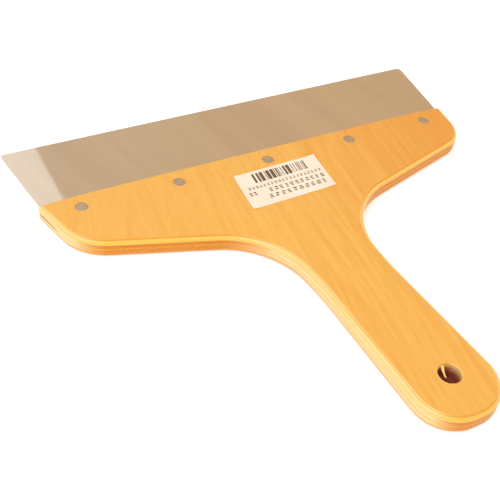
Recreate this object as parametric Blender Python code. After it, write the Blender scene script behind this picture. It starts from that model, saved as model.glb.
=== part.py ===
"""Wide scraping knife with a one-piece plywood handle, modelled in metres with +Z up.

The knife lies flat on its lower face. X runs across the blade, the blade points to +Y
and the grip to -Y. The handle's front edge is at y = BOARD_FRONT, and the whole knife is
centred on the origin. Seven veneers glued crosswise make the handle, a stainless sheet
sits in a kerf cut through the middle veneer, and five flush rivets hold it.
"""

import math

import bmesh
import bpy
from mathutils import Vector

# Whole knife
BLADE_REACH = 0.048
BOARD_LENGTH = 0.176
BOARD_THICKNESS = 0.009
OVERALL_LENGTH = BLADE_REACH + BOARD_LENGTH
BOARD_FRONT = OVERALL_LENGTH / 2 - BLADE_REACH
GAP = 0.0003

# Handle outline. Each side starts at the front edge, at the half width given first, and its
# corners follow as (distance from the middle, distance back from the front edge, radius).
# The handle is cut by hand: its neck sits a few millimetres to the left of the middle.
RIGHT_HALF_WIDTH = 0.1127
RIGHT_CORNERS = (
    (0.1096, 0.0264, 0.0194),
    (0.0149, 0.0527, 0.0399),
    (0.0149, 0.0937, 0.1500),
    (0.0206, BOARD_LENGTH, 0.0185),
)
LEFT_HALF_WIDTH = 0.1155
LEFT_CORNERS = (
    (0.1076, 0.0302, 0.0242),
    (0.0251, 0.0573, 0.0403),
    (0.0212, 0.0948, 0.1500),
    (0.0198, BOARD_LENGTH, 0.0174),
)
CORNER_STEPS = (7, 9, 3, 8)

# The front edge bulges in the middle and falls away at its two ends
FRONT_BOW = 0.0015
FRONT_BOW_POWER = 8
FRONT_STEPS = 12

# Veneers
PLY_COUNT = 7
PLY_THICKNESS = (BOARD_THICKNESS - (PLY_COUNT - 1) * GAP) / PLY_COUNT
MIDDLE_PLY = PLY_COUNT // 2
EDGE_RADIUS = 0.0022
FRONT_EDGE_RADIUS = 0.0008
FACE_RING_DEPTH = 0.00025

# Blade
BLADE_WIDTH = 0.240
BLADE_ROOT_WIDTH = 0.2270
TANG_WIDTH = 0.2180
BLADE_THICKNESS = 0.0006
TANG_DEPTH = 0.0128
KERF_DEPTH = TANG_DEPTH + GAP
CORNER_CUT = 0.0010

# Rivets
RIVET_COUNT = 5
RIVET_SPACING = 0.0485
RIVET_SETBACK = 0.0074
RIVET_SHIFT = -0.0009
RIVET_HEAD_RADIUS = 0.0030
RIVET_SHANK_RADIUS = 0.0019
RIVET_RECESS = 0.0001
RIVET_SIDES = 12

# Hanging hole
HOLE_SETBACK = 0.1548
HOLE_RADIUS = 0.0049
HOLE_SIDES = 20

# Paper label
LABEL_SIZE = (0.0464, 0.0250)
LABEL_SKEW = 0.0028
LABEL_CENTRE = (-0.0014, 0.0254)
LABEL_TURN = math.radians(1.6)
LABEL_THICKNESS = 0.0002
LABEL_GAP = 0.0003

# Long-grain veneers are tawnier than the cross-grain ones between them
PLY_COLOURS = ((0.86, 0.53, 0.20), (0.92, 0.74, 0.42))
SHARP_ANGLE = math.radians(30)


def clear_scene():
    for item in list(bpy.data.objects):
        bpy.data.objects.remove(item, do_unlink=True)


def make_material(name, colour, roughness, metallic=0.0):
    material = bpy.data.materials.new(name)
    material.use_nodes = True
    shader = material.node_tree.nodes["Principled BSDF"]
    shader.inputs["Base Color"].default_value = (*colour, 1.0)
    shader.inputs["Roughness"].default_value = roughness
    shader.inputs["Metallic"].default_value = metallic
    return material


def add_object(name, mesh, material=None, parent=None, location=(0.0, 0.0, 0.0)):
    piece = bpy.data.objects.new(name, mesh)
    bpy.context.scene.collection.objects.link(piece)
    piece.parent = parent
    piece.location = location
    if material:
        mesh.materials.append(material)
    return piece


def add_frame(name, location):
    frame = bpy.data.objects.new(name, None)
    bpy.context.scene.collection.objects.link(frame)
    frame.location = location
    frame.empty_display_size = 0.02
    return frame


def make_mesh(name, bm):
    mesh = bpy.data.meshes.new(name)
    bm.to_mesh(mesh)
    bm.free()
    return mesh


def stack_mesh(name, rings):
    """Closed mesh through rings of (x, y, z), from low to high, each counter-clockwise."""
    bm = bmesh.new()
    loops = [[bm.verts.new(point) for point in ring] for ring in rings]
    for lower, upper in zip(loops, loops[1:]):
        for i in range(len(lower)):
            j = (i + 1) % len(lower)
            bm.faces.new((lower[i], lower[j], upper[j], upper[i]))
    bm.faces.new(reversed(loops[0]))
    bm.faces.new(loops[-1])
    return make_mesh(name, bm)


def circle(radius, sides, height):
    angles = [2.0 * math.pi * i / sides for i in range(sides)]
    return [(radius * math.cos(a), radius * math.sin(a), height) for a in angles]


def turned_mesh(name, profile, sides):
    """Closed turned mesh about Z; the profile lists (radius, height) from low to high."""
    return stack_mesh(name, [circle(radius, sides, height) for radius, height in profile])


def round_corner(before, corner, after, radius, steps):
    """Points of the arc that rounds one corner of a path."""
    before, corner, after = Vector(before), Vector(corner), Vector(after)
    to_before = (before - corner).normalized()
    to_after = (after - corner).normalized()
    half_angle = to_before.angle(to_after) / 2.0
    reach = radius / math.tan(half_angle)
    centre = corner + (to_before + to_after).normalized() * math.hypot(reach, radius)
    start = corner + to_before * reach - centre
    sweep = -start.angle_signed(corner + to_after * reach - centre)
    points = []
    for i in range(steps + 1):
        angle = math.atan2(start.y, start.x) + sweep * i / steps
        points.append((centre.x + radius * math.cos(angle), centre.y + radius * math.sin(angle)))
    return points


def outline_side(half_width, corners, front):
    """One side of the handle from its front, y = front, to the end of its tail corner.

    The distance from the middle counts as positive on both sides.
    """
    path = [(half_width, 0.0)]
    path += [(x, -back) for x, back, radius in corners]
    path.append((0.0, -BOARD_LENGTH))
    slope = (path[1][0] - path[0][0]) / (path[1][1] - path[0][1])
    points = [(half_width + slope * front, front)]
    for i, steps in enumerate(CORNER_STEPS):
        points += round_corner(path[i], path[i + 1], path[i + 2], corners[i][2], steps)
    return points


def board_outline(front):
    """Closed outline of the handle, counter-clockwise from its front left corner."""
    right = outline_side(RIGHT_HALF_WIDTH, RIGHT_CORNERS, front)
    left = outline_side(LEFT_HALF_WIDTH, LEFT_CORNERS, front)
    return [(-x, y) for x, y in left] + right[::-1]


def inset_outline(outline, side_inset, front_inset):
    """The outline moved inward; its two ends slide back from the front edge instead."""
    moved = []
    last = len(outline) - 1
    for i, (x, y) in enumerate(outline):
        before = outline[max(i - 1, 0)]
        after = outline[min(i + 1, last)]
        along = Vector((after[0] - before[0], after[1] - before[1])).normalized()
        moved.append((x - along.y * side_inset, y + along.x * side_inset))
    for end in (0, last):
        moved[end] = (moved[end][0], outline[end][1] - front_inset)
    return moved


def front_edge(right, left, inset):
    """Points of the bulging front edge between its right and left corners."""
    points = []
    for i in range(1, FRONT_STEPS):
        share = math.cos(math.pi * i / FRONT_STEPS)
        x = (right[0] + left[0]) / 2 + (right[0] - left[0]) / 2 * share
        points.append((x, FRONT_BOW * (1.0 - share ** FRONT_BOW_POWER) - inset))
    return points


def edge_inset(radius, height):
    """How far a rounded edge of the board lies inside its side wall at a given height."""
    depth = min(height, BOARD_THICKNESS - height)
    if depth >= radius:
        return 0.0
    return radius - math.sqrt(radius ** 2 - (radius - depth) ** 2)


def ply_heights(index):
    """Levels at which a veneer's outline changes; a face veneer has one more, near its face."""
    bottom = index * (PLY_THICKNESS + GAP)
    heights = [bottom, bottom + PLY_THICKNESS]
    if index == 0:
        heights.insert(1, FACE_RING_DEPTH)
    if index == PLY_COUNT - 1:
        heights.insert(1, BOARD_THICKNESS - FACE_RING_DEPTH)
    return heights


def rivet_places():
    first = -(RIVET_COUNT - 1) / 2
    return [(RIVET_SHIFT + (first + i) * RIVET_SPACING, -RIVET_SETBACK) for i in range(RIVET_COUNT)]


def cutter(name, places, radius, sides, parent):
    """Upright cutting cylinders through the whole board, in one hidden object."""
    bm = bmesh.new()
    for x, y in places:
        made = bmesh.ops.create_cone(
            bm, cap_ends=True, segments=sides, radius1=radius, radius2=radius,
            depth=3.0 * BOARD_THICKNESS,
        )
        bmesh.ops.translate(bm, verts=made["verts"], vec=(x, y, BOARD_THICKNESS / 2))
    guide = add_object(name, make_mesh(name, bm), parent=parent)
    guide.hide_render = True
    guide.display_type = "WIRE"
    return guide


def drill(piece, guide):
    cut = piece.modifiers.new(guide.name, "BOOLEAN")
    cut.operation = "DIFFERENCE"
    cut.object = guide


def build_board(frame, materials, head_cutter, shank_cutter, hole_cutter):
    for i in range(PLY_COUNT):
        front = -KERF_DEPTH if i == MIDDLE_PLY else 0.0
        outline = board_outline(front)
        rings = []
        for height in ply_heights(i):
            side = edge_inset(EDGE_RADIUS, height)
            nose = edge_inset(FRONT_EDGE_RADIUS, height)
            shape = inset_outline(outline, side, nose)
            if i != MIDDLE_PLY:
                shape += front_edge(shape[-1], shape[0], nose)
            rings.append([(x, y, height) for x, y in shape])
        name = f"ply_{i + 1}"
        piece = add_object(name, stack_mesh(name, rings), materials[i % 2], frame)
        drill(piece, hole_cutter)
        if i in (0, PLY_COUNT - 1):
            drill(piece, head_cutter)
        elif i != MIDDLE_PLY:
            drill(piece, shank_cutter)


def build_blade(frame, material, shank_cutter):
    half = BLADE_WIDTH / 2
    root = BLADE_ROOT_WIDTH / 2
    tang = TANG_WIDTH / 2
    right = [(tang, -TANG_DEPTH), (root, 0.0), (half, BLADE_REACH - CORNER_CUT)]
    right.append((half - CORNER_CUT, BLADE_REACH))
    outline = right + [(-x, y) for x, y in reversed(right)]
    middle = BOARD_THICKNESS / 2
    rings = [[(x, y, middle + side * BLADE_THICKNESS / 2) for x, y in outline] for side in (-1, 1)]
    blade = add_object("blade", stack_mesh("blade", rings), material, frame)
    drill(blade, shank_cutter)


def build_rivets(frame, material):
    """Solid rivets with a flush head at each end, the heads as thick as the face veneers."""
    low = RIVET_RECESS
    high = BOARD_THICKNESS - RIVET_RECESS
    profile = [
        (RIVET_HEAD_RADIUS, low),
        (RIVET_HEAD_RADIUS, PLY_THICKNESS),
        (RIVET_SHANK_RADIUS, PLY_THICKNESS),
        (RIVET_SHANK_RADIUS, BOARD_THICKNESS - PLY_THICKNESS),
        (RIVET_HEAD_RADIUS, BOARD_THICKNESS - PLY_THICKNESS),
        (RIVET_HEAD_RADIUS, high),
    ]
    mesh = turned_mesh("rivet", profile, RIVET_SIDES)
    mesh.materials.append(material)
    mesh.shade_smooth()
    mesh.set_sharp_from_angle(angle=SHARP_ANGLE)
    for i, (x, y) in enumerate(rivet_places()):
        add_object(f"rivet_{i + 1}", mesh, parent=frame, location=(x, y, 0.0))


def build_label(frame, material):
    """A sticker cut a little out of square."""
    width, depth = LABEL_SIZE
    low_left = (-(width + LABEL_SKEW) / 2, -depth / 2)
    low_right = ((width - LABEL_SKEW) / 2, -depth / 2)
    corners = [low_left, low_right]
    corners += [(-x, -y) for x, y in corners]
    rings = [[(x, y, height) for x, y in corners] for height in (0.0, LABEL_THICKNESS)]
    place = (LABEL_CENTRE[0], -LABEL_CENTRE[1], BOARD_THICKNESS + LABEL_GAP)
    label = add_object("label", stack_mesh("label", rings), material, frame, place)
    label.rotation_euler.z = LABEL_TURN


def main():
    clear_scene()
    long_grain = make_material("long_grain_veneer", PLY_COLOURS[0], 0.35)
    cross_grain = make_material("cross_grain_veneer", PLY_COLOURS[1], 0.35)
    steel = make_material("stainless_steel", (0.62, 0.59, 0.55), 0.28, 1.0)
    rivet_metal = make_material("rivet_metal", (0.45, 0.40, 0.34), 0.45, 1.0)
    paper = make_material("label_paper", (0.93, 0.88, 0.80), 0.6)

    frame = add_frame("front_edge", (0.0, BOARD_FRONT, 0.0))
    places = rivet_places()
    head_cutter = cutter("head_cutter", places, RIVET_HEAD_RADIUS + GAP, RIVET_SIDES, frame)
    shank_cutter = cutter("shank_cutter", places, RIVET_SHANK_RADIUS + GAP, RIVET_SIDES, frame)
    hole_place = [(0.0, -HOLE_SETBACK)]
    hole_cutter = cutter("hole_cutter", hole_place, HOLE_RADIUS, HOLE_SIDES, frame)

    build_board(frame, (long_grain, cross_grain), head_cutter, shank_cutter, hole_cutter)
    build_blade(frame, steel, shank_cutter)
    build_rivets(frame, rivet_metal)
    build_label(frame, paper)


main()
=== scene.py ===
"""Looks of the plywood-handled scraping knife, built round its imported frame.

Board coordinates have their origin in the middle of the handle's front edge, on the lower
face: x to the right, y towards the blade, z up, in metres.
"""

import math
import random

import bmesh
import bpy
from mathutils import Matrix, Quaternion, Vector


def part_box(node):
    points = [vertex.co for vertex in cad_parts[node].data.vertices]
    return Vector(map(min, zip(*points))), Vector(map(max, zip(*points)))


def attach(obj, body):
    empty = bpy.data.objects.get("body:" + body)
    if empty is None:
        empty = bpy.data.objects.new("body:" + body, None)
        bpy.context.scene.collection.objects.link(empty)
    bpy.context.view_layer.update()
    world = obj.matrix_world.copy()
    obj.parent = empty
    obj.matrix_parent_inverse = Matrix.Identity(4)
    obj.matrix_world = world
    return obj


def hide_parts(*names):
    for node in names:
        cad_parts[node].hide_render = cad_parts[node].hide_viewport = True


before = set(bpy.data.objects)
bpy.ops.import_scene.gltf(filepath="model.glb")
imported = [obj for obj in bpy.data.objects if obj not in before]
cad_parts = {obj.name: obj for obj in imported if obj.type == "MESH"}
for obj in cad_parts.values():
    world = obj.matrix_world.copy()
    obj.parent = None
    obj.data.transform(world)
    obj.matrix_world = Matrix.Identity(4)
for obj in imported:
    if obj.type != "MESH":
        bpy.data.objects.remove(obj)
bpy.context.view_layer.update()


def paint(red, green, blue):
    """A colour given as sRGB from 0 to 255, in linear values."""
    channels = []
    for value in (red, green, blue):
        share = value / 255.0
        channels.append(share / 12.92 if share < 0.04045 else ((share + 0.055) / 1.055) ** 2.4)
    return tuple(channels)


# Places and sizes read from the frame. FRONT_Y is where the handle's two front corners are;
# between them its front edge bulges by FRONT_BOW.
BOARD_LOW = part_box("ply_2")[0]
BOARD_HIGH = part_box("ply_2")[1]
BOARD_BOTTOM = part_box("ply_1")[0].z
BOARD_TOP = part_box("ply_7")[1].z
FRONT_BOW = 0.0015
FRONT_Y = BOARD_HIGH.y - FRONT_BOW
THICKNESS = BOARD_TOP - BOARD_BOTTOM
LENGTH = FRONT_Y - BOARD_LOW.y
BLADE_LOW, BLADE_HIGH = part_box("blade")

# Handle outline: half width at the front edge, then corners as (distance from the middle,
# distance back, radius)
RIGHT_HALF_WIDTH = 0.1127
RIGHT_CORNERS = (
    (0.1096, 0.0264, 0.0194),
    (0.0149, 0.0527, 0.0399),
    (0.0149, 0.0937, 0.1500),
    (0.0206, LENGTH, 0.0185),
)
LEFT_HALF_WIDTH = 0.1155
LEFT_CORNERS = (
    (0.1076, 0.0302, 0.0242),
    (0.0251, 0.0573, 0.0403),
    (0.0212, 0.0948, 0.1500),
    (0.0198, LENGTH, 0.0174),
)
CORNER_STEPS = (26, 34, 14, 34)

# A higher power keeps the front edge straighter up to its two ends, where it falls away
FRONT_BOW_POWER = 8
FRONT_STEPS = 60

# Veneers, and the rounding of the handle's side edges and of its front edge
PLY_COUNT = 7
PLY_STEP = THICKNESS / PLY_COUNT
EDGE_RADIUS = 0.0022
NOSE_RADIUS = 0.0008
EDGE_STEPS = 9
CLOSEST_RINGS = 0.000004
FLAT_MARGIN = 0.0006

# Hanging hole: its wall is a little rough, and the lowest veneer keeps a ragged fringe in it.
# Waves are (count round the hole, height, how much further round each veneer's waves start).
HOLE_PLACE = (0.0, -0.1548)
HOLE_RADIUS = 0.0049
HOLE_EASE = 0.00035
HOLE_SIDES = 72
HOLE_ROUGHNESS = 0.00004
HOLE_WAVES = ((5, 1.0, 2.1), (13, 0.6, 5.3))
BREAKOUT_FRINGE = 0.0020
BREAKOUT_ROUGHNESS = 0.0002

# Sliver of veneer left hanging in the hole
SPLINTER_ROOT = Vector((0.0002, -0.1498, 0.0082))
SPLINTER_TIP = Vector((-0.0022, -0.1556, 0.0080))
SPLINTER_SAG = 0.0006
SPLINTER_HALF_WIDTH = 0.00055
SPLINTER_TAPER = 0.75
SPLINTER_WAVES = 9
SPLINTER_WAVE_HEIGHT = 0.12
SPLINTER_TILT = 0.4
SPLINTER_FLATNESS = 0.45
SPLINTER_STEPS = 10

# Blade and the kerf that holds it
KERF_HEIGHT = 0.00066
KERF_DEPTH = 0.0131
BLADE_MIDDLE = (BLADE_LOW.z + BLADE_HIGH.z) / 2 - BOARD_BOTTOM
BLADE_HALF_WIDTH = (BLADE_HIGH.x - BLADE_LOW.x) / 2
BLADE_REACH = BLADE_HIGH.y - FRONT_Y
BLADE_TANG = FRONT_Y - BLADE_LOW.y
BLADE_ROOT_HALF_WIDTH = 0.1135
TANG_HALF_WIDTH = 0.1090
BLADE_CORNER_RADIUS = 0.0020
BLADE_CORNER_STEPS = 6
BLADE_EASE = 0.00006

# Rivets, and the holes for their heads and shanks
RIVET_PLACES = [(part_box(f"rivet_{i}")[0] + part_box(f"rivet_{i}")[1]) / 2 for i in range(1, 6)]
RIVET_RADIUS = 0.0030
RIVET_RECESS = 0.00008
SHANK_RADIUS = 0.0019
POCKET_RADIUS = 0.00306
SHANK_HOLE_RADIUS = 0.0020
RIVET_SIDES = 48
RIVET_EASE = 0.00006

# Sticker: size, how far it is out of square, middle of its place, turn, thickness
LABEL_SIZE = (0.0464, 0.0250)
LABEL_SKEW = 0.0028
LABEL_CENTRE = (-0.0014, -0.0254)
LABEL_TURN = math.radians(1.6)
LABEL_BASE = THICKNESS + 0.00003
PAPER_THICKNESS = 0.00013
PRINT_THICKNESS = 0.000012
PATCH_STEP = 0.04
LABEL_SEED = 11

# Lift of the sticker's corners, gathered at them by these two powers, and its slight waves
CORNER_LIFT = 0.00035
CORNER_POWERS = (9, 5)
PAPER_WAVE = 0.00002
PAPER_WAVE_TURNS = (7.0, 3.0)

# Print on the sticker as (left, right, blade side, tail side) in shares of its two sides,
# and for the rows of dashes the pitch of their groups too
BAR_BLOCK = (0.19, 0.84, 0.075, 0.345)
DASH_ROWS = (
    (0.07, 0.97, 0.43, 0.51, 0.045),
    (0.05, 0.15, 0.57, 0.69, 0.050),
    (0.28, 0.97, 0.57, 0.69, 0.063),
    (0.24, 0.93, 0.74, 0.86, 0.072),
)
BAR_WIDTHS = (0.009, 0.009, 0.018, 0.027, 0.040)
BAR_GAPS = (0.009, 0.011, 0.022)
DASH_WIDTHS = (0.62, 0.80)
DASH_LINES = (2, 3, 3)
DASH_HEIGHT = 0.56
DASH_STARTS = (0.0, 0.25)
DASH_STOPS = (0.75, 1.0)

# Wood figure. Scales are features per metre across the grain, along it and in depth; ranges
# are the noise values between which a look goes from nothing to full.
GRAIN_TURN = math.radians(7.5)
GRAIN_SWAY = 0.006
SWAY_SCALE = (14.0, 14.0, 0.0)
FIGURE_SCALE = (60.0, 7.0, 40.0)
FIGURE_SHIFT = (3.1, 0.7, 0.0)
FIGURE_RINGS = 80.0
RING_RANGE = (-0.2, 1.0)
RING_STRENGTH = 0.28
CALM_SCALE = (24.0, 10.0, 10.0)
CALM_SHIFT = (1.7, 5.3, 0.0)
CALM_RANGE = (0.40, 0.60)
STREAK_SCALE = (430.0, 15.0, 400.0)
STREAK_RANGE = (0.30, 0.66)
PORE_SCALE = (1500.0, 150.0, 1500.0)
PORE_RANGE = (0.52, 0.78)
PORE_STRENGTH = 0.22

# Places in x between which the streaks grow from faint to clear and the face turns ruddy, partly the
# wood's tone and partly painted shade towards the right
STREAK_SPAN = (-0.08, 0.0)
STREAK_CONTRAST = (0.25, 0.9)
RUDDY_SPAN = (0.0, 0.10)

# Side walls, with heights above the lower face. The rounded band takes up most of the edge
# radius below the top face, and FACE_RANGE says how level the surface is where it ends.
LINE_SCALE = (30.0, 30.0, 3200.0)
LINE_RANGE = (0.30, 0.70)
DOT_SCALE = (1300.0, 1300.0, 2200.0)
DOT_RANGE = (0.35, 0.65)
END_GRAIN_RANGE = (0.55, 0.93)
# Painted shade along the bottom of the side walls, near the floor
BOTTOM_SHADE_HEIGHTS = (0.0009, 0.0028)
BOTTOM_SHADE_STRENGTH = 0.85
UNDER_BAND_HEIGHTS = (0.0048, 0.0066)
UNDER_BAND_STRENGTH = 0.7
BAND_HEIGHTS = (THICKNESS - 0.95 * EDGE_RADIUS, THICKNESS - 0.85 * EDGE_RADIUS)
FACE_RANGE = (0.985, 0.998)

# The thin sheet that each face of the board is made of, and the glue between veneers, whose
# lines fade out between two distances from the board's middle height
FACE_SHEET = 0.00025
SHEET_HEIGHTS = (THICKNESS - 1.1 * FACE_SHEET, THICKNESS - 0.9 * FACE_SHEET)
SHEET_STRENGTH = 0.7
SHEET_GLUE_STRENGTH = 0.55
GLUE_HALF_WIDTH = 0.00005
GLUE_STRENGTH = 0.6
GLUE_REACH = (THICKNESS / 2 - 0.0006, THICKNESS / 2 - 0.0004)

# Painted shade on the hole's wall, darkening it from a little below the top face downwards
HOLE_SHADE_RADII = (HOLE_RADIUS + 0.0003, HOLE_RADIUS + 0.0005)
HOLE_SHADE_HEIGHTS = (THICKNESS - 0.0047, THICKNESS - 0.0012)
HOLE_SHADE_STRENGTH = 0.93

# Relief and lacquer of the wood
WOOD_ROUGHNESS = (0.34, 0.50)
STREAK_RELIEF = 0.6
PORE_RELIEF = 0.4
WOOD_RELIEF = 0.00006
LACQUER_RANGE = (0.05, 0.45)
LACQUER_WEIGHTS = (0.05, 0.28)
LACQUER_ROUGHNESS = 0.16
LACQUER_IOR = 1.48
WOOD_SPECULAR = 0.25

# Colours
LONG_GRAIN = {
    "light": paint(226, 173, 84),
    "dark": paint(219, 157, 69),
    "ruddy_light": paint(222, 152, 66),
    "ruddy_dark": paint(216, 140, 55),
    "ring": paint(220, 144, 57),
    "sheet": paint(214, 140, 34),
    "pore": paint(202, 126, 46),
    "band": paint(227, 168, 62),
    "band_light": paint(234, 190, 84),
    # Pale whitish side tones, partly the side grain's colour and partly a painted highlight
    "band_side": paint(226, 178, 96),
    "band_side_light": paint(235, 203, 138),
    "side": paint(229, 182, 112),
    "side_light": paint(238, 210, 158),
    # Darker end tones, partly end grain and partly painted shade on the walls facing along y
    "end": paint(206, 134, 34),
    "end_dark": paint(192, 112, 22),
    "glue": paint(180, 100, 30),
    # painted shade along the bottom of the side walls
    "painted_bottom_shade": paint(196, 104, 26),
    # painted shade deep in the hanging hole
    "painted_hole_shade": paint(140, 60, 48),
}
# In the crosswise veneers the darker end tones fall on side grain and the pale side tones on end grain,
# so there they are painted shade and painted light
CROSS_GRAIN = dict(LONG_GRAIN)
CROSS_GRAIN["side"] = paint(226, 173, 102)
CROSS_GRAIN["side_light"] = paint(234, 199, 136)
CROSS_GRAIN["end"] = paint(214, 146, 44)
CROSS_GRAIN["end_dark"] = paint(200, 126, 32)
# The steel's warm beige tint is partly a painted reflection of warm surroundings
STEEL_LIGHT = (0.70, 0.62, 0.53)
STEEL_DARK = (0.64, 0.56, 0.47)
STEEL_MARK = (0.80, 0.73, 0.64)
RIVET_LIGHT = (0.60, 0.46, 0.32)
RIVET_DARK = (0.43, 0.32, 0.21)
PAPER_COLOURS = (paint(231, 212, 190), paint(236, 219, 198), paint(226, 203, 178))
INK_DARK = (0.070, 0.038, 0.021)
INK_FADED = (0.190, 0.120, 0.072)

# Steel, rivets, paper and ink: noise scales per metre, and ranges as for the wood
MARK_SCALE = (5200.0, 26.0, 600.0)
MARK_TURN = 0.03
SMEAR_SCALE = (44.0, 4.0, 30.0)
SMEAR_TURN = -0.20
MARK_STRENGTH = 0.16
MARK_ROUGHNESS = (0.02, 0.045)
SMEAR_ROUGHNESS = 0.03
MARK_RELIEF = 0.0000015
SPOT_SCALE = (900.0, 900.0, 900.0)
FILING_SCALE = (600.0, 5200.0, 600.0)
FILING_TURN = 0.5
FILING_RELIEF = 0.00001
RIVET_ROUGHNESS = (0.42, 0.62)
RIVET_METALLIC = 0.85
FIBRE_SCALE = (1400.0, 1400.0, 1400.0)
FIBRE_STRENGTH = 0.35
FIBRE_RELIEF = 0.00002
CLOUD_SCALE = (90.0, 90.0, 90.0)
PAPER_ROUGHNESS = (0.55, 0.72)
SPECKLE_SCALE = (2600.0, 2600.0, 2600.0)
INK_ROUGHNESS = (0.45, 0.65)

# Studio
FLOOR_HALF_SIZE = 6.0
FLOOR_DROP = 0.0001
FLOOR_COLOURS = ((0.86, 0.86, 0.86), (0.88, 0.88, 0.88))
FLOOR_SCALE = (3.0, 3.0, 3.0)
FLOOR_ROUGHNESS = 0.9
FLOOR_SPECULAR = 0.1

# The floor glows a little, as a background lit from behind, except within the hanging hole
FLOOR_GLOW = 0.28
GLOW_RADII = (0.006, 0.010)

# White surroundings with a warm wall in the direction that the blade mirrors
WORLD_STRENGTH = 1.0
WARM_WALL_DIRECTION = Vector((0.62, 0.50, 0.50))
WORLD_STOPS = (
    (0.70, (1.0, 1.0, 1.0)),
    (0.88, (0.84, 0.67, 0.49)),
    (1.00, (0.81, 0.59, 0.375)),
)

# Soft lights; the card is what the blade's left end mirrors
KEY_PLACE = (-0.55, -0.21, 0.58)
KEY_TARGET = (0.0, 0.0, 0.0)
KEY_SIZE = (0.42, 0.42)
KEY_POWER = 2.85
FILL_PLACE = (0.70, -0.26, 0.36)
FILL_SIZE = (0.45, 0.35)
FILL_POWER = 1.0
CARD_PLACE = (-0.13, 0.72, 0.525)
CARD_TARGET = (-0.13, 0.72, 0.0)
CARD_SIZE = (0.40, 0.50)
CARD_POWER = 0.27
CARD_COLOUR = (0.73, 0.87, 1.0)

# Camera, placed as the photograph was taken
CAMERA_PLACE = Vector((-0.18828, -0.22892, 0.26435))
CAMERA_TARGET = Vector((-0.03748, 0.00589, 0.0045))
CAMERA_ROLL = math.radians(7.06)
CAMERA_LENS = 61.2
CAMERA_CLIP_START = 0.01


# ---------------------------------------------------------------- outline and mesh tools

def round_corner(before, corner, after, radius, steps):
    """Points of the arc that rounds one corner of a path."""
    before, corner, after = Vector(before), Vector(corner), Vector(after)
    to_before = (before - corner).normalized()
    to_after = (after - corner).normalized()
    half_angle = to_before.angle(to_after) / 2.0
    reach = radius / math.tan(half_angle)
    centre = corner + (to_before + to_after).normalized() * math.hypot(reach, radius)
    start = corner + to_before * reach - centre
    sweep = -start.angle_signed(corner + to_after * reach - centre)
    points = []
    for i in range(steps + 1):
        angle = math.atan2(start.y, start.x) + sweep * i / steps
        points.append((centre.x + radius * math.cos(angle), centre.y + radius * math.sin(angle)))
    return points


def outline_side(half_width, corners):
    """One side of the handle from its front edge to the end of its tail corner."""
    path = [(half_width, 0.0)]
    path += [(x, -back) for x, back, radius in corners]
    path.append((0.0, -LENGTH))
    points = [path[0]]
    for i, steps in enumerate(CORNER_STEPS):
        points += round_corner(path[i], path[i + 1], path[i + 2], corners[i][2], steps)
    return points


def board_outline():
    """Sides and tail of the handle, counter-clockwise from its front left corner."""
    right = outline_side(RIGHT_HALF_WIDTH, RIGHT_CORNERS)
    left = outline_side(LEFT_HALF_WIDTH, LEFT_CORNERS)
    return [(-x, y) for x, y in left] + right[::-1]


def front_edge(right, left, inset):
    """Points of the bulging front edge between its right and left corners."""
    points = []
    for i in range(1, FRONT_STEPS):
        share = math.cos(math.pi * i / FRONT_STEPS)
        x = (right[0] + left[0]) / 2 + (right[0] - left[0]) / 2 * share
        points.append((x, FRONT_BOW * (1.0 - share ** FRONT_BOW_POWER) - inset))
    return points


def inset_outline(outline, side_inset, front_inset):
    """The closed outline, its sides moved inward and its front edge moved back."""
    moved = []
    last = len(outline) - 1
    for i, (x, y) in enumerate(outline):
        before = outline[max(i - 1, 0)]
        after = outline[min(i + 1, last)]
        along = Vector((after[0] - before[0], after[1] - before[1])).normalized()
        moved.append((x - along.y * side_inset, y + along.x * side_inset))
    for end in (0, last):
        moved[end] = (moved[end][0], outline[end][1] - front_inset)
    return moved + front_edge(moved[last], moved[0], front_inset)


def edge_inset(radius, height):
    """How far a rounded edge of the board lies inside its side wall at a given height."""
    depth = min(height, THICKNESS - height)
    if depth >= radius:
        return 0.0
    return radius - math.sqrt(max(radius ** 2 - (radius - depth) ** 2, 0.0))


def levels_between(low, high, radii):
    """Heights of a veneer's rings: its two faces, and steps of equal angle on rounded edges."""
    heights = {low, high}
    for radius in radii:
        for i in range(EDGE_STEPS + 1):
            depth = radius * (1.0 - math.cos(math.pi / 2 * i / EDGE_STEPS))
            for height in (depth, THICKNESS - depth):
                if low + CLOSEST_RINGS < height < high - CLOSEST_RINGS:
                    heights.add(height)
    return sorted(heights)


def circle(centre, radius, sides, height):
    """Points of a level circle, counter-clockwise seen from above."""
    angles = [2.0 * math.pi * i / sides for i in range(sides)]
    return [(centre[0] + radius * math.cos(a), centre[1] + radius * math.sin(a), height)
            for a in angles]


def wall(bm, rings, inward=False):
    """Faces between rings of points; returns the first and last loops of vertices."""
    loops = [[bm.verts.new(point) for point in ring] for ring in rings]
    for lower, upper in zip(loops, loops[1:]):
        for i in range(len(lower)):
            j = (i + 1) % len(lower)
            corners = [lower[i], lower[j], upper[j], upper[i]]
            bm.faces.new(corners[::-1] if inward else corners)
    return loops[0], loops[-1]


def cap(bm, loops, up):
    """A flat face between loops of vertices: an outline with its holes."""
    edges = []
    for loop in loops:
        for i, vert in enumerate(loop):
            following = loop[(i + 1) % len(loop)]
            edges.append(bm.edges.get((vert, following)))
    made = bmesh.ops.triangle_fill(bm, edges=edges, use_beauty=True)
    faces = [item for item in made["geom"] if isinstance(item, bmesh.types.BMFace)]
    for face in faces:
        face.normal_update()
        if (face.normal.z > 0) != up:
            face.normal_flip()


def cap_ends(bm, loops):
    """The lower and the upper face of a plate, from the (first, last) loops of its walls."""
    cap(bm, [first for first, last in loops], up=False)
    cap(bm, [last for first, last in loops], up=True)


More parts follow.
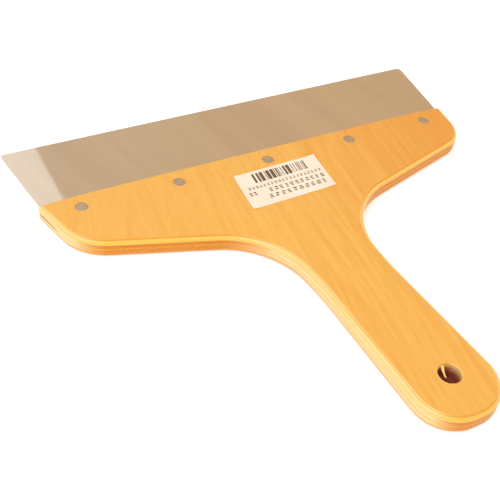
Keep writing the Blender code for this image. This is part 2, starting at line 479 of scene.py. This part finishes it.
def rivet_holes(bm, radius, low, high):
    """The walls of the five rivet holes through a plate."""
    loops = []
    for place in RIVET_PLACES:
        rings = [circle((place.x, place.y - FRONT_Y), radius, RIVET_SIDES, z) for z in (low, high)]
        loops.append(wall(bm, rings, inward=True))
    return loops


def add_piece(name, bm, material, smooth_angle=35.0):
    """A visible piece in board coordinates, smooth except over its sharp edges."""
    mesh = bpy.data.meshes.new(name)
    bm.to_mesh(mesh)
    bm.free()
    mesh.shade_smooth()
    mesh.set_sharp_from_angle(angle=math.radians(smooth_angle))
    mesh.materials.append(material)
    piece = bpy.data.objects.new(name, mesh)
    bpy.context.scene.collection.objects.link(piece)
    piece.location = (0.0, FRONT_Y, BOARD_BOTTOM)
    return piece


def stand_for(piece, node):
    """The piece rides on the knife's only body and stands for a CAD node."""
    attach(piece, "root")
    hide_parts(node)


# ---------------------------------------------------------------- material tools

class Nodes:
    """A material's node tree with short ways to add and join nodes."""

    def __init__(self, name):
        self.material = bpy.data.materials.new(name)
        self.material.use_nodes = True
        self.tree = self.material.node_tree
        self.shader = self.tree.nodes["Principled BSDF"]
        source = self.tree.nodes.new("ShaderNodeTexCoord")
        self.coords = source.outputs["Object"]
        self.normal = source.outputs["Normal"]

    def put(self, socket, value):
        """Joins an output to a socket, or gives the socket a plain value."""
        if hasattr(value, "is_linked"):
            self.tree.links.new(value, socket)
        else:
            socket.default_value = value

    def set(self, **values):
        """Sets or joins sockets of the shader, with _ for each space in their names."""
        for key, value in values.items():
            self.put(self.shader.inputs[key.replace("_", " ")], value)

    def mapped(self, scale, turn=0.0, shift=(0.0, 0.0, 0.0), source=None):
        """Coordinates turned about Z and then stretched, so that features follow the grain."""
        turned = self.tree.nodes.new("ShaderNodeMapping")
        turned.inputs["Rotation"].default_value = (0.0, 0.0, turn)
        self.put(turned.inputs["Vector"], source or self.coords)
        scaled = self.tree.nodes.new("ShaderNodeMapping")
        scaled.inputs["Location"].default_value = shift
        scaled.inputs["Scale"].default_value = scale
        self.put(scaled.inputs["Vector"], turned.outputs["Vector"])
        return scaled.outputs["Vector"]

    def noise(self, vector, detail, distortion=0.0):
        node = self.tree.nodes.new("ShaderNodeTexNoise")
        node.inputs["Scale"].default_value = 1.0
        node.inputs["Detail"].default_value = detail
        node.inputs["Distortion"].default_value = distortion
        self.put(node.inputs["Vector"], vector)
        return node.outputs["Fac"]

    def math(self, operation, first, second=0.0, clamp=False):
        """One arithmetic step; a plain number may stand in for either value."""
        node = self.tree.nodes.new("ShaderNodeMath")
        node.operation = operation
        node.use_clamp = clamp
        self.put(node.inputs[0], first)
        self.put(node.inputs[1], second)
        return node.outputs["Value"]

    def spread(self, value, low, high, out_low=0.0, out_high=1.0):
        """Takes low..high to out_low..out_high and stays at the ends outside that range."""
        node = self.tree.nodes.new("ShaderNodeMapRange")
        self.put(node.inputs["Value"], value)
        for key, number in (("From Min", low), ("From Max", high),
                            ("To Min", out_low), ("To Max", out_high)):
            node.inputs[key].default_value = number
        return node.outputs["Result"]

    def mix(self, factor, first, second):
        """The first colour at a factor of 0 and the second at 1."""
        node = self.tree.nodes.new("ShaderNodeMix")
        node.data_type = "RGBA"
        self.put(node.inputs["Factor"], factor)
        for socket, value in ((node.inputs["A"], first), (node.inputs["B"], second)):
            self.put(socket, value if hasattr(value, "is_linked") else (*value, 1.0))
        return node.outputs["Result"]

    def part(self, vector, axis):
        node = self.tree.nodes.new("ShaderNodeSeparateXYZ")
        self.put(node.inputs["Vector"], vector)
        return node.outputs[axis]

    def offset(self, vector, amount):
        node = self.tree.nodes.new("ShaderNodeVectorMath")
        node.operation = "ADD"
        self.put(node.inputs[0], vector)
        self.put(node.inputs[1], amount)
        return node.outputs["Vector"]

    def length(self, vector):
        node = self.tree.nodes.new("ShaderNodeVectorMath")
        node.operation = "LENGTH"
        self.put(node.inputs[0], vector)
        return node.outputs["Value"]

    def bump(self, height, distance, strength=0.5):
        node = self.tree.nodes.new("ShaderNodeBump")
        node.inputs["Strength"].default_value = strength
        node.inputs["Distance"].default_value = distance
        self.put(node.inputs["Height"], height)
        return node.outputs["Normal"]


# ---------------------------------------------------------------- handle

def hole_ring(ply, height):
    """The hanging hole in one veneer: eased at the faces and a little rough from the drill."""
    radius = HOLE_RADIUS + edge_inset(HOLE_EASE, height)
    roughness = HOLE_ROUGHNESS
    if ply == 1:
        radius -= BREAKOUT_FRINGE
        roughness = BREAKOUT_ROUGHNESS
    points = []
    for x, y, z in circle((0.0, 0.0), radius, HOLE_SIDES, height):
        angle = math.atan2(y, x)
        rough = sum(share * math.sin(count * angle + start * ply) for count, share, start in HOLE_WAVES)
        grow = 1.0 + roughness * rough / radius
        points.append((HOLE_PLACE[0] + x * grow, HOLE_PLACE[1] + y * grow, z))
    return points


def outer_rings(outline, low, high):
    """The side wall of one veneer, with a flat margin where it is the board's face."""
    levels = levels_between(low, high, (EDGE_RADIUS, NOSE_RADIUS))
    shapes = [(height, edge_inset(EDGE_RADIUS, height), edge_inset(NOSE_RADIUS, height))
              for height in levels]
    margin = (EDGE_RADIUS + FLAT_MARGIN, NOSE_RADIUS + FLAT_MARGIN)
    if low < CLOSEST_RINGS:
        shapes.insert(0, (low, *margin))
    if high > THICKNESS - CLOSEST_RINGS:
        shapes.append((high, *margin))
    return [[(x, y, height) for x, y in inset_outline(outline, side, front)]
            for height, side, front in shapes]


def veneer_mesh(ply, outline):
    """One veneer of the handle, with its part of the hanging hole and of the rivet holes."""
    low = (ply - 1) * PLY_STEP
    high = ply * PLY_STEP
    bm = bmesh.new()
    loops = [wall(bm, outer_rings(outline, low, high))]
    levels = levels_between(low, high, (HOLE_EASE,))
    loops.append(wall(bm, [hole_ring(ply, height) for height in levels], inward=True))
    radius = POCKET_RADIUS if ply in (1, PLY_COUNT) else SHANK_HOLE_RADIUS
    loops += rivet_holes(bm, radius, low, high)
    cap_ends(bm, loops)
    return bm


def cut_kerf(piece):
    """Saws the slot for the blade, as wide as the handle, into the middle veneer's front."""
    bm = bmesh.new()
    bmesh.ops.create_cube(bm, size=1.0)
    bmesh.ops.scale(bm, vec=(1.0, 2 * KERF_DEPTH, KERF_HEIGHT), verts=bm.verts)
    bmesh.ops.translate(bm, vec=(0.0, 0.0, BLADE_MIDDLE), verts=bm.verts)
    saw = add_piece("saw", bm, piece.data.materials[0])
    cut = piece.modifiers.new("kerf", "BOOLEAN")
    cut.object = saw
    cut.solver = "EXACT"
    shape = piece.evaluated_get(bpy.context.evaluated_depsgraph_get())
    mesh = bpy.data.meshes.new_from_object(shape)
    piece.modifiers.clear()
    piece.data = mesh
    bpy.data.objects.remove(saw)


def build_handle(long_grain, cross_grain):
    """Seven veneers, with their grain turned in alternate ones and the kerf in the middle one."""
    outline = board_outline()
    for ply in range(1, PLY_COUNT + 1):
        crosswise = ply % 2 == 0
        material = cross_grain if crosswise else long_grain
        piece = add_piece(f"veneer_{ply}", veneer_mesh(ply, outline), material)
        if ply == (PLY_COUNT + 1) // 2:
            cut_kerf(piece)
        stand_for(piece, f"ply_{ply}")


def build_splinter(material):
    """A sliver of the face veneer that the drill left hanging in the hole."""
    bm = bmesh.new()
    rings = []
    for i in range(SPLINTER_STEPS + 1):
        t = i / SPLINTER_STEPS
        middle = SPLINTER_ROOT.lerp(SPLINTER_TIP, t)
        middle.z -= SPLINTER_SAG * math.sin(math.pi * t)
        uneven = 1.0 + SPLINTER_WAVE_HEIGHT * math.sin(SPLINTER_WAVES * t)
        half = SPLINTER_HALF_WIDTH * (1.0 - SPLINTER_TAPER * t ** 2) * uneven
        side = Vector((half, -half * SPLINTER_TILT, 0.0))
        lift = Vector((0.0, 0.0, half * SPLINTER_FLATNESS))
        rings.append([middle + side, middle + lift, middle - side, middle - lift])
    first, last = wall(bm, rings)
    bm.faces.new(first[::-1])
    bm.faces.new(last)
    bmesh.ops.recalc_face_normals(bm, faces=bm.faces)
    piece = add_piece("hole_splinter", bm, material, smooth_angle=60.0)
    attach(piece, "root")


# ---------------------------------------------------------------- blade and rivets

def inset_loop(points, amount):
    """A closed counter-clockwise outline moved inward by a small amount."""
    moved = []
    for i, (x, y) in enumerate(points):
        before = Vector(points[i - 1])
        after = Vector(points[(i + 1) % len(points)])
        along = (after - before).normalized()
        moved.append((x - along.y * amount, y + along.x * amount))
    return moved


def blade_outline():
    """The tang, the flaring sides and the working edge with its two rounded corners."""
    half = BLADE_HALF_WIDTH
    tip = round_corner((BLADE_ROOT_HALF_WIDTH, 0.0), (half, BLADE_REACH), (0.0, BLADE_REACH),
                       BLADE_CORNER_RADIUS, BLADE_CORNER_STEPS)
    right = [(TANG_HALF_WIDTH, -BLADE_TANG), (BLADE_ROOT_HALF_WIDTH, 0.0)] + tip
    return right + [(-x, y) for x, y in reversed(right)]


def build_blade(material):
    """The steel sheet with eased edges and its five rivet holes."""
    bm = bmesh.new()
    outline = blade_outline()
    half = (BLADE_HIGH.z - BLADE_LOW.z) / 2
    shapes = ((-half, BLADE_EASE), (BLADE_EASE - half, 0.0), (half - BLADE_EASE, 0.0), (half, BLADE_EASE))
    rings = [[(x, y, BLADE_MIDDLE + z) for x, y in inset_loop(outline, inset)] for z, inset in shapes]
    loops = [wall(bm, rings)]
    loops += rivet_holes(bm, SHANK_HOLE_RADIUS, BLADE_MIDDLE - half, BLADE_MIDDLE + half)
    cap_ends(bm, loops)
    stand_for(add_piece("scraper_blade", bm, material, smooth_angle=20.0), "blade")


def build_rivets(material):
    """Flush rivets: a flat head in each face veneer and a shank through the rest."""
    low = RIVET_RECESS
    high = THICKNESS - RIVET_RECESS
    profile = [
        (RIVET_RADIUS - 4 * RIVET_EASE, low - RIVET_EASE / 2),
        (RIVET_RADIUS - RIVET_EASE, low),
        (RIVET_RADIUS, low + RIVET_EASE),
        (RIVET_RADIUS, PLY_STEP),
        (SHANK_RADIUS, PLY_STEP),
    ]
    profile += [(radius, THICKNESS - z) for radius, z in reversed(profile)]
    for i, place in enumerate(RIVET_PLACES):
        bm = bmesh.new()
        centre = (place.x, place.y - FRONT_Y)
        rings = [circle(centre, radius, RIVET_SIDES, z) for radius, z in profile]
        first, last = wall(bm, rings)
        bm.faces.new(first[::-1])
        bm.faces.new(last)
        stand_for(add_piece(f"flush_rivet_{i + 1}", bm, material), f"rivet_{i + 1}")


# ---------------------------------------------------------------- sticker

def label_point(u, v, height):
    """A point above the sticker's place: u from left to right, v from blade to tail, 0 to 1."""
    width, depth = LABEL_SIZE
    y = (0.5 - v) * depth
    x = (u - 0.5) * width + LABEL_SKEW * y / depth
    corner = (2 * abs(u - 0.5)) ** CORNER_POWERS[0] * (2 * abs(v - 0.5)) ** CORNER_POWERS[1]
    wave = math.sin(PAPER_WAVE_TURNS[0] * u + PAPER_WAVE_TURNS[1] * v)
    lift = CORNER_LIFT * corner + PAPER_WAVE * (1.0 + wave)
    cosine, sine = math.cos(LABEL_TURN), math.sin(LABEL_TURN)
    place = (LABEL_CENTRE[0] + x * cosine - y * sine, LABEL_CENTRE[1] + x * sine + y * cosine)
    return (*place, LABEL_BASE + lift + height)


def add_patch(bm, left, right, near, far, low, high):
    """A closed thin slab that follows the sticker's surface; near is its blade side."""
    columns = max(1, math.ceil((right - left) / PATCH_STEP))
    rows = max(1, math.ceil((far - near) / PATCH_STEP))
    layers = []
    for height in (low, high):
        grid = []
        for j in range(rows + 1):
            v = near + (far - near) * j / rows
            grid.append([bm.verts.new(label_point(left + (right - left) * i / columns, v, height))
                         for i in range(columns + 1)])
        layers.append(grid)
    for grid, upward in zip(layers, (False, True)):
        for j in range(rows):
            for i in range(columns):
                face = [grid[j][i], grid[j + 1][i], grid[j + 1][i + 1], grid[j][i + 1]]
                bm.faces.new(face if upward else face[::-1])
    lower, upper = (patch_rim(grid) for grid in layers)
    for i in range(len(lower)):
        j = (i + 1) % len(lower)
        bm.faces.new([lower[i], lower[j], upper[j], upper[i]])


def patch_rim(grid):
    """The outer vertices of a grid, counter-clockwise seen from above."""
    rim = [row[0] for row in grid]
    rim += grid[-1][1:]
    rim += [row[-1] for row in reversed(grid[:-1])]
    rim += grid[0][-2:0:-1]
    return rim


def add_mark(bm, left, right, near, far):
    """One printed mark on the paper."""
    add_patch(bm, left, right, near, far, PAPER_THICKNESS, PAPER_THICKNESS + PRINT_THICKNESS)


def add_bars(bm, draw):
    """A block of plain upright bars of mixed widths, which encode nothing."""
    left, right, near, far = BAR_BLOCK
    u = left
    while u < right:
        width = draw.choice(BAR_WIDTHS)
        add_mark(bm, u, min(u + width, right), near, far)
        u += width + draw.choice(BAR_GAPS)


def add_dashes(bm, draw, left, right, near, far, pitch):
    """A row of small groups of dashes, as a stand-in for print."""
    u = left
    while u + pitch < right + 0.5 * pitch:
        width = pitch * draw.uniform(*DASH_WIDTHS)
        lines = draw.choice(DASH_LINES)
        for i in range(lines):
            low = near + (far - near) * i / lines
            high = low + (far - near) * DASH_HEIGHT / lines
            start = u + width * draw.uniform(*DASH_STARTS)
            stop = u + width * draw.uniform(*DASH_STOPS)
            add_mark(bm, start, stop, low, high)
        u += pitch


def build_label(paper, ink):
    """The paper sticker and the print on it, which spells nothing."""
    bm = bmesh.new()
    add_patch(bm, 0.0, 1.0, 0.0, 1.0, 0.0, PAPER_THICKNESS)
    stand_for(add_piece("sticker", bm, paper), "label")
    draw = random.Random(LABEL_SEED)
    bm = bmesh.new()
    add_bars(bm, draw)
    for row in DASH_ROWS:
        add_dashes(bm, draw, *row)
    piece = add_piece("sticker_print", bm, ink)
    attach(piece, "root")


# ---------------------------------------------------------------- materials

def wood_figure(nodes, along):
    """Growth-ring figure, fine streaks and pores of a veneer whose grain runs along an axis."""
    turn = GRAIN_TURN if along == "Y" else GRAIN_TURN + math.pi / 2
    sway = nodes.noise(nodes.mapped(SWAY_SCALE, turn), 1.0)
    sway = nodes.math("MULTIPLY", nodes.math("SUBTRACT", sway, 0.5), GRAIN_SWAY)
    bent = nodes.offset(nodes.coords, sway)
    figure = nodes.noise(nodes.mapped(FIGURE_SCALE, turn, FIGURE_SHIFT, bent), 1.5, 0.2)
    rings = nodes.math("SINE", nodes.math("MULTIPLY", figure, FIGURE_RINGS))
    calm = nodes.noise(nodes.mapped(CALM_SCALE, turn, CALM_SHIFT), 1.0)
    shown = nodes.spread(calm, *CALM_RANGE)
    rings = nodes.math("MULTIPLY", nodes.spread(rings, *RING_RANGE), shown)
    streaks = nodes.noise(nodes.mapped(STREAK_SCALE, turn, source=bent), 4.0, 0.3)
    pores = nodes.noise(nodes.mapped(PORE_SCALE, turn, source=bent), 2.0)
    return rings, streaks, pores


def facing(nodes, axis):
    """How squarely the surface faces along one axis of the object, from 0 to 1."""
    return nodes.math("ABSOLUTE", nodes.part(nodes.normal, axis))


# Walls facing along y get the darker end tones: end grain in the lengthwise veneers, side grain in the
# crosswise ones, so the darker tone is partly grain and partly painted shade
def end_grain_and_shade_mask(nodes):
    """How nearly the edge runs across the handle, from 0 along it to 1 across it."""
    level = nodes.length(nodes.mapped((1.0, 1.0, 0.0), source=nodes.normal))
    share = nodes.math("DIVIDE", facing(nodes, "Y"), level)
    return nodes.spread(share, *END_GRAIN_RANGE)


def glue_lines(nodes, height):
    """Thin lines where veneers meet on the side walls, and under the thin face sheet."""
    nearest = nodes.math("PINGPONG", height, PLY_STEP / 2)
    between = nodes.spread(nearest, GLUE_HALF_WIDTH, 2.5 * GLUE_HALF_WIDTH, 1.0, 0.0)
    from_middle = nodes.math("ABSOLUTE", nodes.math("SUBTRACT", height, THICKNESS / 2))
    inside = nodes.spread(from_middle, *GLUE_REACH, 1.0, 0.0)
    plies = nodes.math("MULTIPLY", between, inside, clamp=True)
    below = nodes.math("SUBTRACT", from_middle, THICKNESS / 2 - FACE_SHEET)
    distance = nodes.math("ABSOLUTE", below)
    under = nodes.spread(distance, 0.3 * FACE_SHEET, 0.5 * FACE_SHEET, SHEET_GLUE_STRENGTH, 0.0)
    return nodes.math("MAXIMUM", plies, under)


def hole_shade(nodes, height):
    """The drilled wall of the hanging hole: painted shade that darkens it away from the top face."""
    centre = (-HOLE_PLACE[0], -HOLE_PLACE[1], 0.0)
    flat = nodes.mapped((1.0, 1.0, 0.0), source=nodes.offset(nodes.coords, centre))
    near = nodes.spread(nodes.length(flat), *HOLE_SHADE_RADII, 1.0, 0.0)
    depth = nodes.spread(height, *HOLE_SHADE_HEIGHTS, 1.0, 0.0)
    return nodes.math("MULTIPLY", near, depth, clamp=True)


def face_colour(nodes, colours, rings, streaks, pores):
    """The figured face: streaks that fade to the left, and ruddy towards the right, partly as painted
    shade.
    """
    place = nodes.part(nodes.coords, "X")
    contrast = nodes.spread(place, *STREAK_SPAN, *STREAK_CONTRAST)
    fine = nodes.math("SUBTRACT", nodes.spread(streaks, *STREAK_RANGE), 0.5)
    fine = nodes.math("ADD", nodes.math("MULTIPLY", fine, contrast), 0.5)
    # Ruddy towards the right: partly the wood's tone, partly painted shade
    ruddy = nodes.spread(place, *RUDDY_SPAN)
    dark = nodes.mix(ruddy, colours["dark"], colours["ruddy_dark"])
    light = nodes.mix(ruddy, colours["light"], colours["ruddy_light"])
    face = nodes.mix(fine, dark, light)
    face = nodes.mix(nodes.math("MULTIPLY", rings, RING_STRENGTH), face, colours["ring"])
    return nodes.mix(nodes.spread(pores, *PORE_RANGE, 0.0, PORE_STRENGTH), face, colours["pore"])


def wall_colour(nodes, colours, height, end_grain_and_shade, lined):
    """The upright part of the edge: pale side tones with painted shade along their bottom, or darker end
    tones that darken further lower down; which tone a wall gets goes by the way it faces, partly grain
    and partly painted light and shade.
    """
    dots = nodes.noise(nodes.mapped(DOT_SCALE), 3.0)
    side = nodes.mix(lined, colours["side"], colours["side_light"])
    end = nodes.mix(nodes.spread(dots, *DOT_RANGE), colours["end_dark"], colours["end"])
    colour = nodes.mix(end_grain_and_shade, side, end)
    # Painted shade darkens the bottom of the side walls
    painted_bottom_shade = nodes.spread(height, *BOTTOM_SHADE_HEIGHTS, BOTTOM_SHADE_STRENGTH, 0.0)
    painted_bottom_shade = nodes.math("MULTIPLY", painted_bottom_shade, nodes.math("SUBTRACT", 1.0, end_grain_and_shade))
    colour = nodes.mix(painted_bottom_shade, colour, colours["painted_bottom_shade"])
    under_band = nodes.spread(height, *UNDER_BAND_HEIGHTS, 0.0, UNDER_BAND_STRENGTH)
    under_band = nodes.math("MULTIPLY", under_band, end_grain_and_shade)
    return nodes.mix(under_band, colour, colours["end_dark"])


def edge_colour(nodes, colours, height, face):
    """The handle's edge: its wall, the band that is rounded into the top, sheet and glue."""
    end_grain_and_shade = end_grain_and_shade_mask(nodes)
    lined = nodes.spread(nodes.noise(nodes.mapped(LINE_SCALE), 3.0), *LINE_RANGE)
    wall_part = wall_colour(nodes, colours, height, end_grain_and_shade, lined)
    band_side = nodes.mix(lined, colours["band_side"], colours["band_side_light"])
    band_end = nodes.mix(lined, colours["band"], colours["band_light"])
    band = nodes.mix(end_grain_and_shade, band_side, band_end)
    colour = nodes.mix(nodes.spread(height, *BAND_HEIGHTS), wall_part, band)
    sheet = nodes.mix(SHEET_STRENGTH, face, colours["sheet"])
    in_sheet = nodes.math("MULTIPLY", nodes.spread(height, *SHEET_HEIGHTS), end_grain_and_shade)
    colour = nodes.mix(in_sheet, colour, sheet)
    glued = nodes.math("MULTIPLY", glue_lines(nodes, height), GLUE_STRENGTH)
    return nodes.mix(glued, colour, colours["glue"])


def veneer_material(name, along, colours):
    """Lacquered plywood veneer: figured faces, pale side tones and darker end tones that are partly grain
    and partly painted light and shade, and painted shade in the hole.
    """
    nodes = Nodes(name)
    rings, streaks, pores = wood_figure(nodes, along)
    height = nodes.part(nodes.coords, "Z")
    upward = facing(nodes, "Z")
    face = face_colour(nodes, colours, rings, streaks, pores)
    edge = edge_colour(nodes, colours, height, face)
    colour = nodes.mix(nodes.spread(upward, *FACE_RANGE), edge, face)
    # Painted shade darkens the hanging hole's wall deeper down
    hole_shade_share = nodes.math("MULTIPLY", hole_shade(nodes, height), HOLE_SHADE_STRENGTH)
    colour = nodes.mix(hole_shade_share, colour, colours["painted_hole_shade"])
    relief = nodes.math("ADD", nodes.math("MULTIPLY", streaks, STREAK_RELIEF),
                        nodes.math("MULTIPLY", pores, PORE_RELIEF))
    nodes.set(Base_Color=colour, Roughness=nodes.spread(streaks, 0.2, 0.8, *WOOD_ROUGHNESS))
    nodes.set(Normal=nodes.bump(relief, WOOD_RELIEF), Specular_IOR_Level=WOOD_SPECULAR)
    nodes.set(Coat_Weight=nodes.spread(upward, *LACQUER_RANGE, *LACQUER_WEIGHTS))
    nodes.set(Coat_Roughness=LACQUER_ROUGHNESS, Coat_IOR=LACQUER_IOR)
    return nodes.material


def steel_material():
    """Thin rolled stainless steel, polished, with faint grinding marks and finger smears."""
    nodes = Nodes("polished_stainless_steel")
    marks = nodes.noise(nodes.mapped(MARK_SCALE, MARK_TURN), 3.0)
    smears = nodes.noise(nodes.mapped(SMEAR_SCALE, SMEAR_TURN), 3.0, 0.8)
    # The warm beige base is partly a painted reflection of warm surroundings
    base = nodes.mix(nodes.spread(smears, 0.35, 0.70), STEEL_DARK, STEEL_LIGHT)
    base = nodes.mix(nodes.spread(marks, 0.55, 0.85, 0.0, MARK_STRENGTH), base, STEEL_MARK)
    fine = nodes.spread(marks, 0.2, 0.8, *MARK_ROUGHNESS)
    rough = nodes.math("ADD", fine, nodes.spread(smears, 0.5, 0.8, 0.0, SMEAR_ROUGHNESS))
    nodes.set(Base_Color=base, Roughness=rough, Normal=nodes.bump(marks, MARK_RELIEF, 0.4))
    nodes.set(Metallic=1.0)
    return nodes.material


def rivet_material():
    """Soft dull metal, filed flush with the wood."""
    nodes = Nodes("dull_rivet_metal")
    spots = nodes.noise(nodes.mapped(SPOT_SCALE), 4.0)
    filing = nodes.noise(nodes.mapped(FILING_SCALE, FILING_TURN), 2.0)
    base = nodes.mix(nodes.spread(spots, 0.35, 0.68), RIVET_DARK, RIVET_LIGHT)
    nodes.set(Base_Color=base, Roughness=nodes.spread(filing, 0.25, 0.75, *RIVET_ROUGHNESS))
    nodes.set(Normal=nodes.bump(filing, FILING_RELIEF), Metallic=RIVET_METALLIC)
    return nodes.material


def paper_material():
    """Uncoated label paper with a faint fibre."""
    nodes = Nodes("label_paper")
    fibre = nodes.noise(nodes.mapped(FIBRE_SCALE), 4.0)
    clouds = nodes.noise(nodes.mapped(CLOUD_SCALE), 2.0)
    base = nodes.mix(nodes.spread(clouds, 0.3, 0.7), PAPER_COLOURS[0], PAPER_COLOURS[1])
    base = nodes.mix(nodes.spread(fibre, 0.60, 0.80, 0.0, FIBRE_STRENGTH), base, PAPER_COLOURS[2])
    nodes.set(Base_Color=base, Roughness=nodes.spread(fibre, 0.2, 0.8, *PAPER_ROUGHNESS))
    nodes.set(Normal=nodes.bump(fibre, FIBRE_RELIEF))
    return nodes.material


def ink_material():
    """Thermal-transfer ink, a little uneven."""
    nodes = Nodes("label_ink")
    speckle = nodes.noise(nodes.mapped(SPECKLE_SCALE), 3.0)
    nodes.set(Base_Color=nodes.mix(nodes.spread(speckle, 0.3, 0.75), INK_DARK, INK_FADED))
    nodes.set(Roughness=nodes.spread(speckle, 0.2, 0.8, *INK_ROUGHNESS))
    return nodes.material


def floor_material():
    """Plain pale floor that glows a little, except where it shows through the hole."""
    nodes = Nodes("pale_floor")
    cloud = nodes.noise(nodes.mapped(FLOOR_SCALE), 2.0)
    base = nodes.mix(nodes.spread(cloud, 0.2, 0.8), FLOOR_COLOURS[0], FLOOR_COLOURS[1])
    nodes.set(Base_Color=base, Roughness=FLOOR_ROUGHNESS, Specular_IOR_Level=FLOOR_SPECULAR)
    hole = nodes.offset(nodes.coords, (-HOLE_PLACE[0], -HOLE_PLACE[1] - FRONT_Y, 0.0))
    glow = nodes.spread(nodes.length(hole), *GLOW_RADII, 0.0, FLOOR_GLOW)
    nodes.set(Emission_Color=(1.0, 1.0, 1.0, 1.0), Emission_Strength=glow)
    return nodes.material


# ---------------------------------------------------------------- studio

def build_floor():
    """The floor just under the handle."""
    bm = bmesh.new()
    bmesh.ops.create_grid(bm, x_segments=1, y_segments=1, size=FLOOR_HALF_SIZE)
    floor = add_piece("studio_floor", bm, floor_material())
    floor.location = (0.0, 0.0, BOARD_BOTTOM - FLOOR_DROP)


def build_world():
    """Even white light, with a warm wall where the blade's reflection looks."""
    world = bpy.data.worlds.new("studio")
    bpy.context.scene.world = world
    world.use_nodes = True
    tree = world.node_tree
    coords = tree.nodes.new("ShaderNodeTexCoord")
    dot = tree.nodes.new("ShaderNodeVectorMath")
    dot.operation = "DOT_PRODUCT"
    tree.links.new(coords.outputs["Generated"], dot.inputs[0])
    dot.inputs[1].default_value = WARM_WALL_DIRECTION.normalized()
    ramp = tree.nodes.new("ShaderNodeValToRGB")
    tree.links.new(dot.outputs["Value"], ramp.inputs["Fac"])
    ramp.color_ramp.elements.new(0.5)
    for stop, (position, colour) in zip(ramp.color_ramp.elements, WORLD_STOPS):
        stop.position = position
        stop.color = (*colour, 1.0)
    background = tree.nodes["Background"]
    tree.links.new(ramp.outputs["Color"], background.inputs["Color"])
    background.inputs["Strength"].default_value = WORLD_STRENGTH


def add_softbox(name, place, target, size, power, colour=(1.0, 1.0, 1.0)):
    """A soft rectangular light that the camera doesn't see."""
    light = bpy.data.lights.new(name, "AREA")
    light.shape = "RECTANGLE"
    light.size, light.size_y = size
    light.energy = power
    light.color = colour
    lamp = bpy.data.objects.new(name, light)
    bpy.context.scene.collection.objects.link(lamp)
    lamp.location = place
    lamp.rotation_euler = (Vector(target) - Vector(place)).to_track_quat("-Z", "Y").to_euler()
    lamp.visible_camera = False


def add_camera():
    """The camera at the photograph's place, rolled about its own view."""
    data = bpy.data.cameras.new("camera")
    data.sensor_width = 36.0
    data.lens = CAMERA_LENS
    data.clip_start = CAMERA_CLIP_START
    camera = bpy.data.objects.new("camera", data)
    bpy.context.scene.collection.objects.link(camera)
    camera.location = CAMERA_PLACE
    look = (CAMERA_TARGET - CAMERA_PLACE).to_track_quat("-Z", "Y")
    camera.rotation_mode = "QUATERNION"
    camera.rotation_quaternion = look @ Quaternion((0.0, 0.0, 1.0), CAMERA_ROLL)
    bpy.context.scene.camera = camera


def main():
    bpy.context.scene.view_settings.view_transform = "Standard"
    build_handle(veneer_material("long_grain_veneer", "Y", LONG_GRAIN),
                 veneer_material("cross_grain_veneer", "X", CROSS_GRAIN))
    build_splinter(bpy.data.materials["long_grain_veneer"])
    build_blade(steel_material())
    build_rivets(rivet_material())
    build_label(paper_material(), ink_material())
    build_floor()
    build_world()
    add_softbox("key", KEY_PLACE, KEY_TARGET, KEY_SIZE, KEY_POWER)
    add_softbox("fill", FILL_PLACE, KEY_TARGET, FILL_SIZE, FILL_POWER)
    add_softbox("card", CARD_PLACE, CARD_TARGET, CARD_SIZE, CARD_POWER, CARD_COLOUR)
    add_camera()


main()
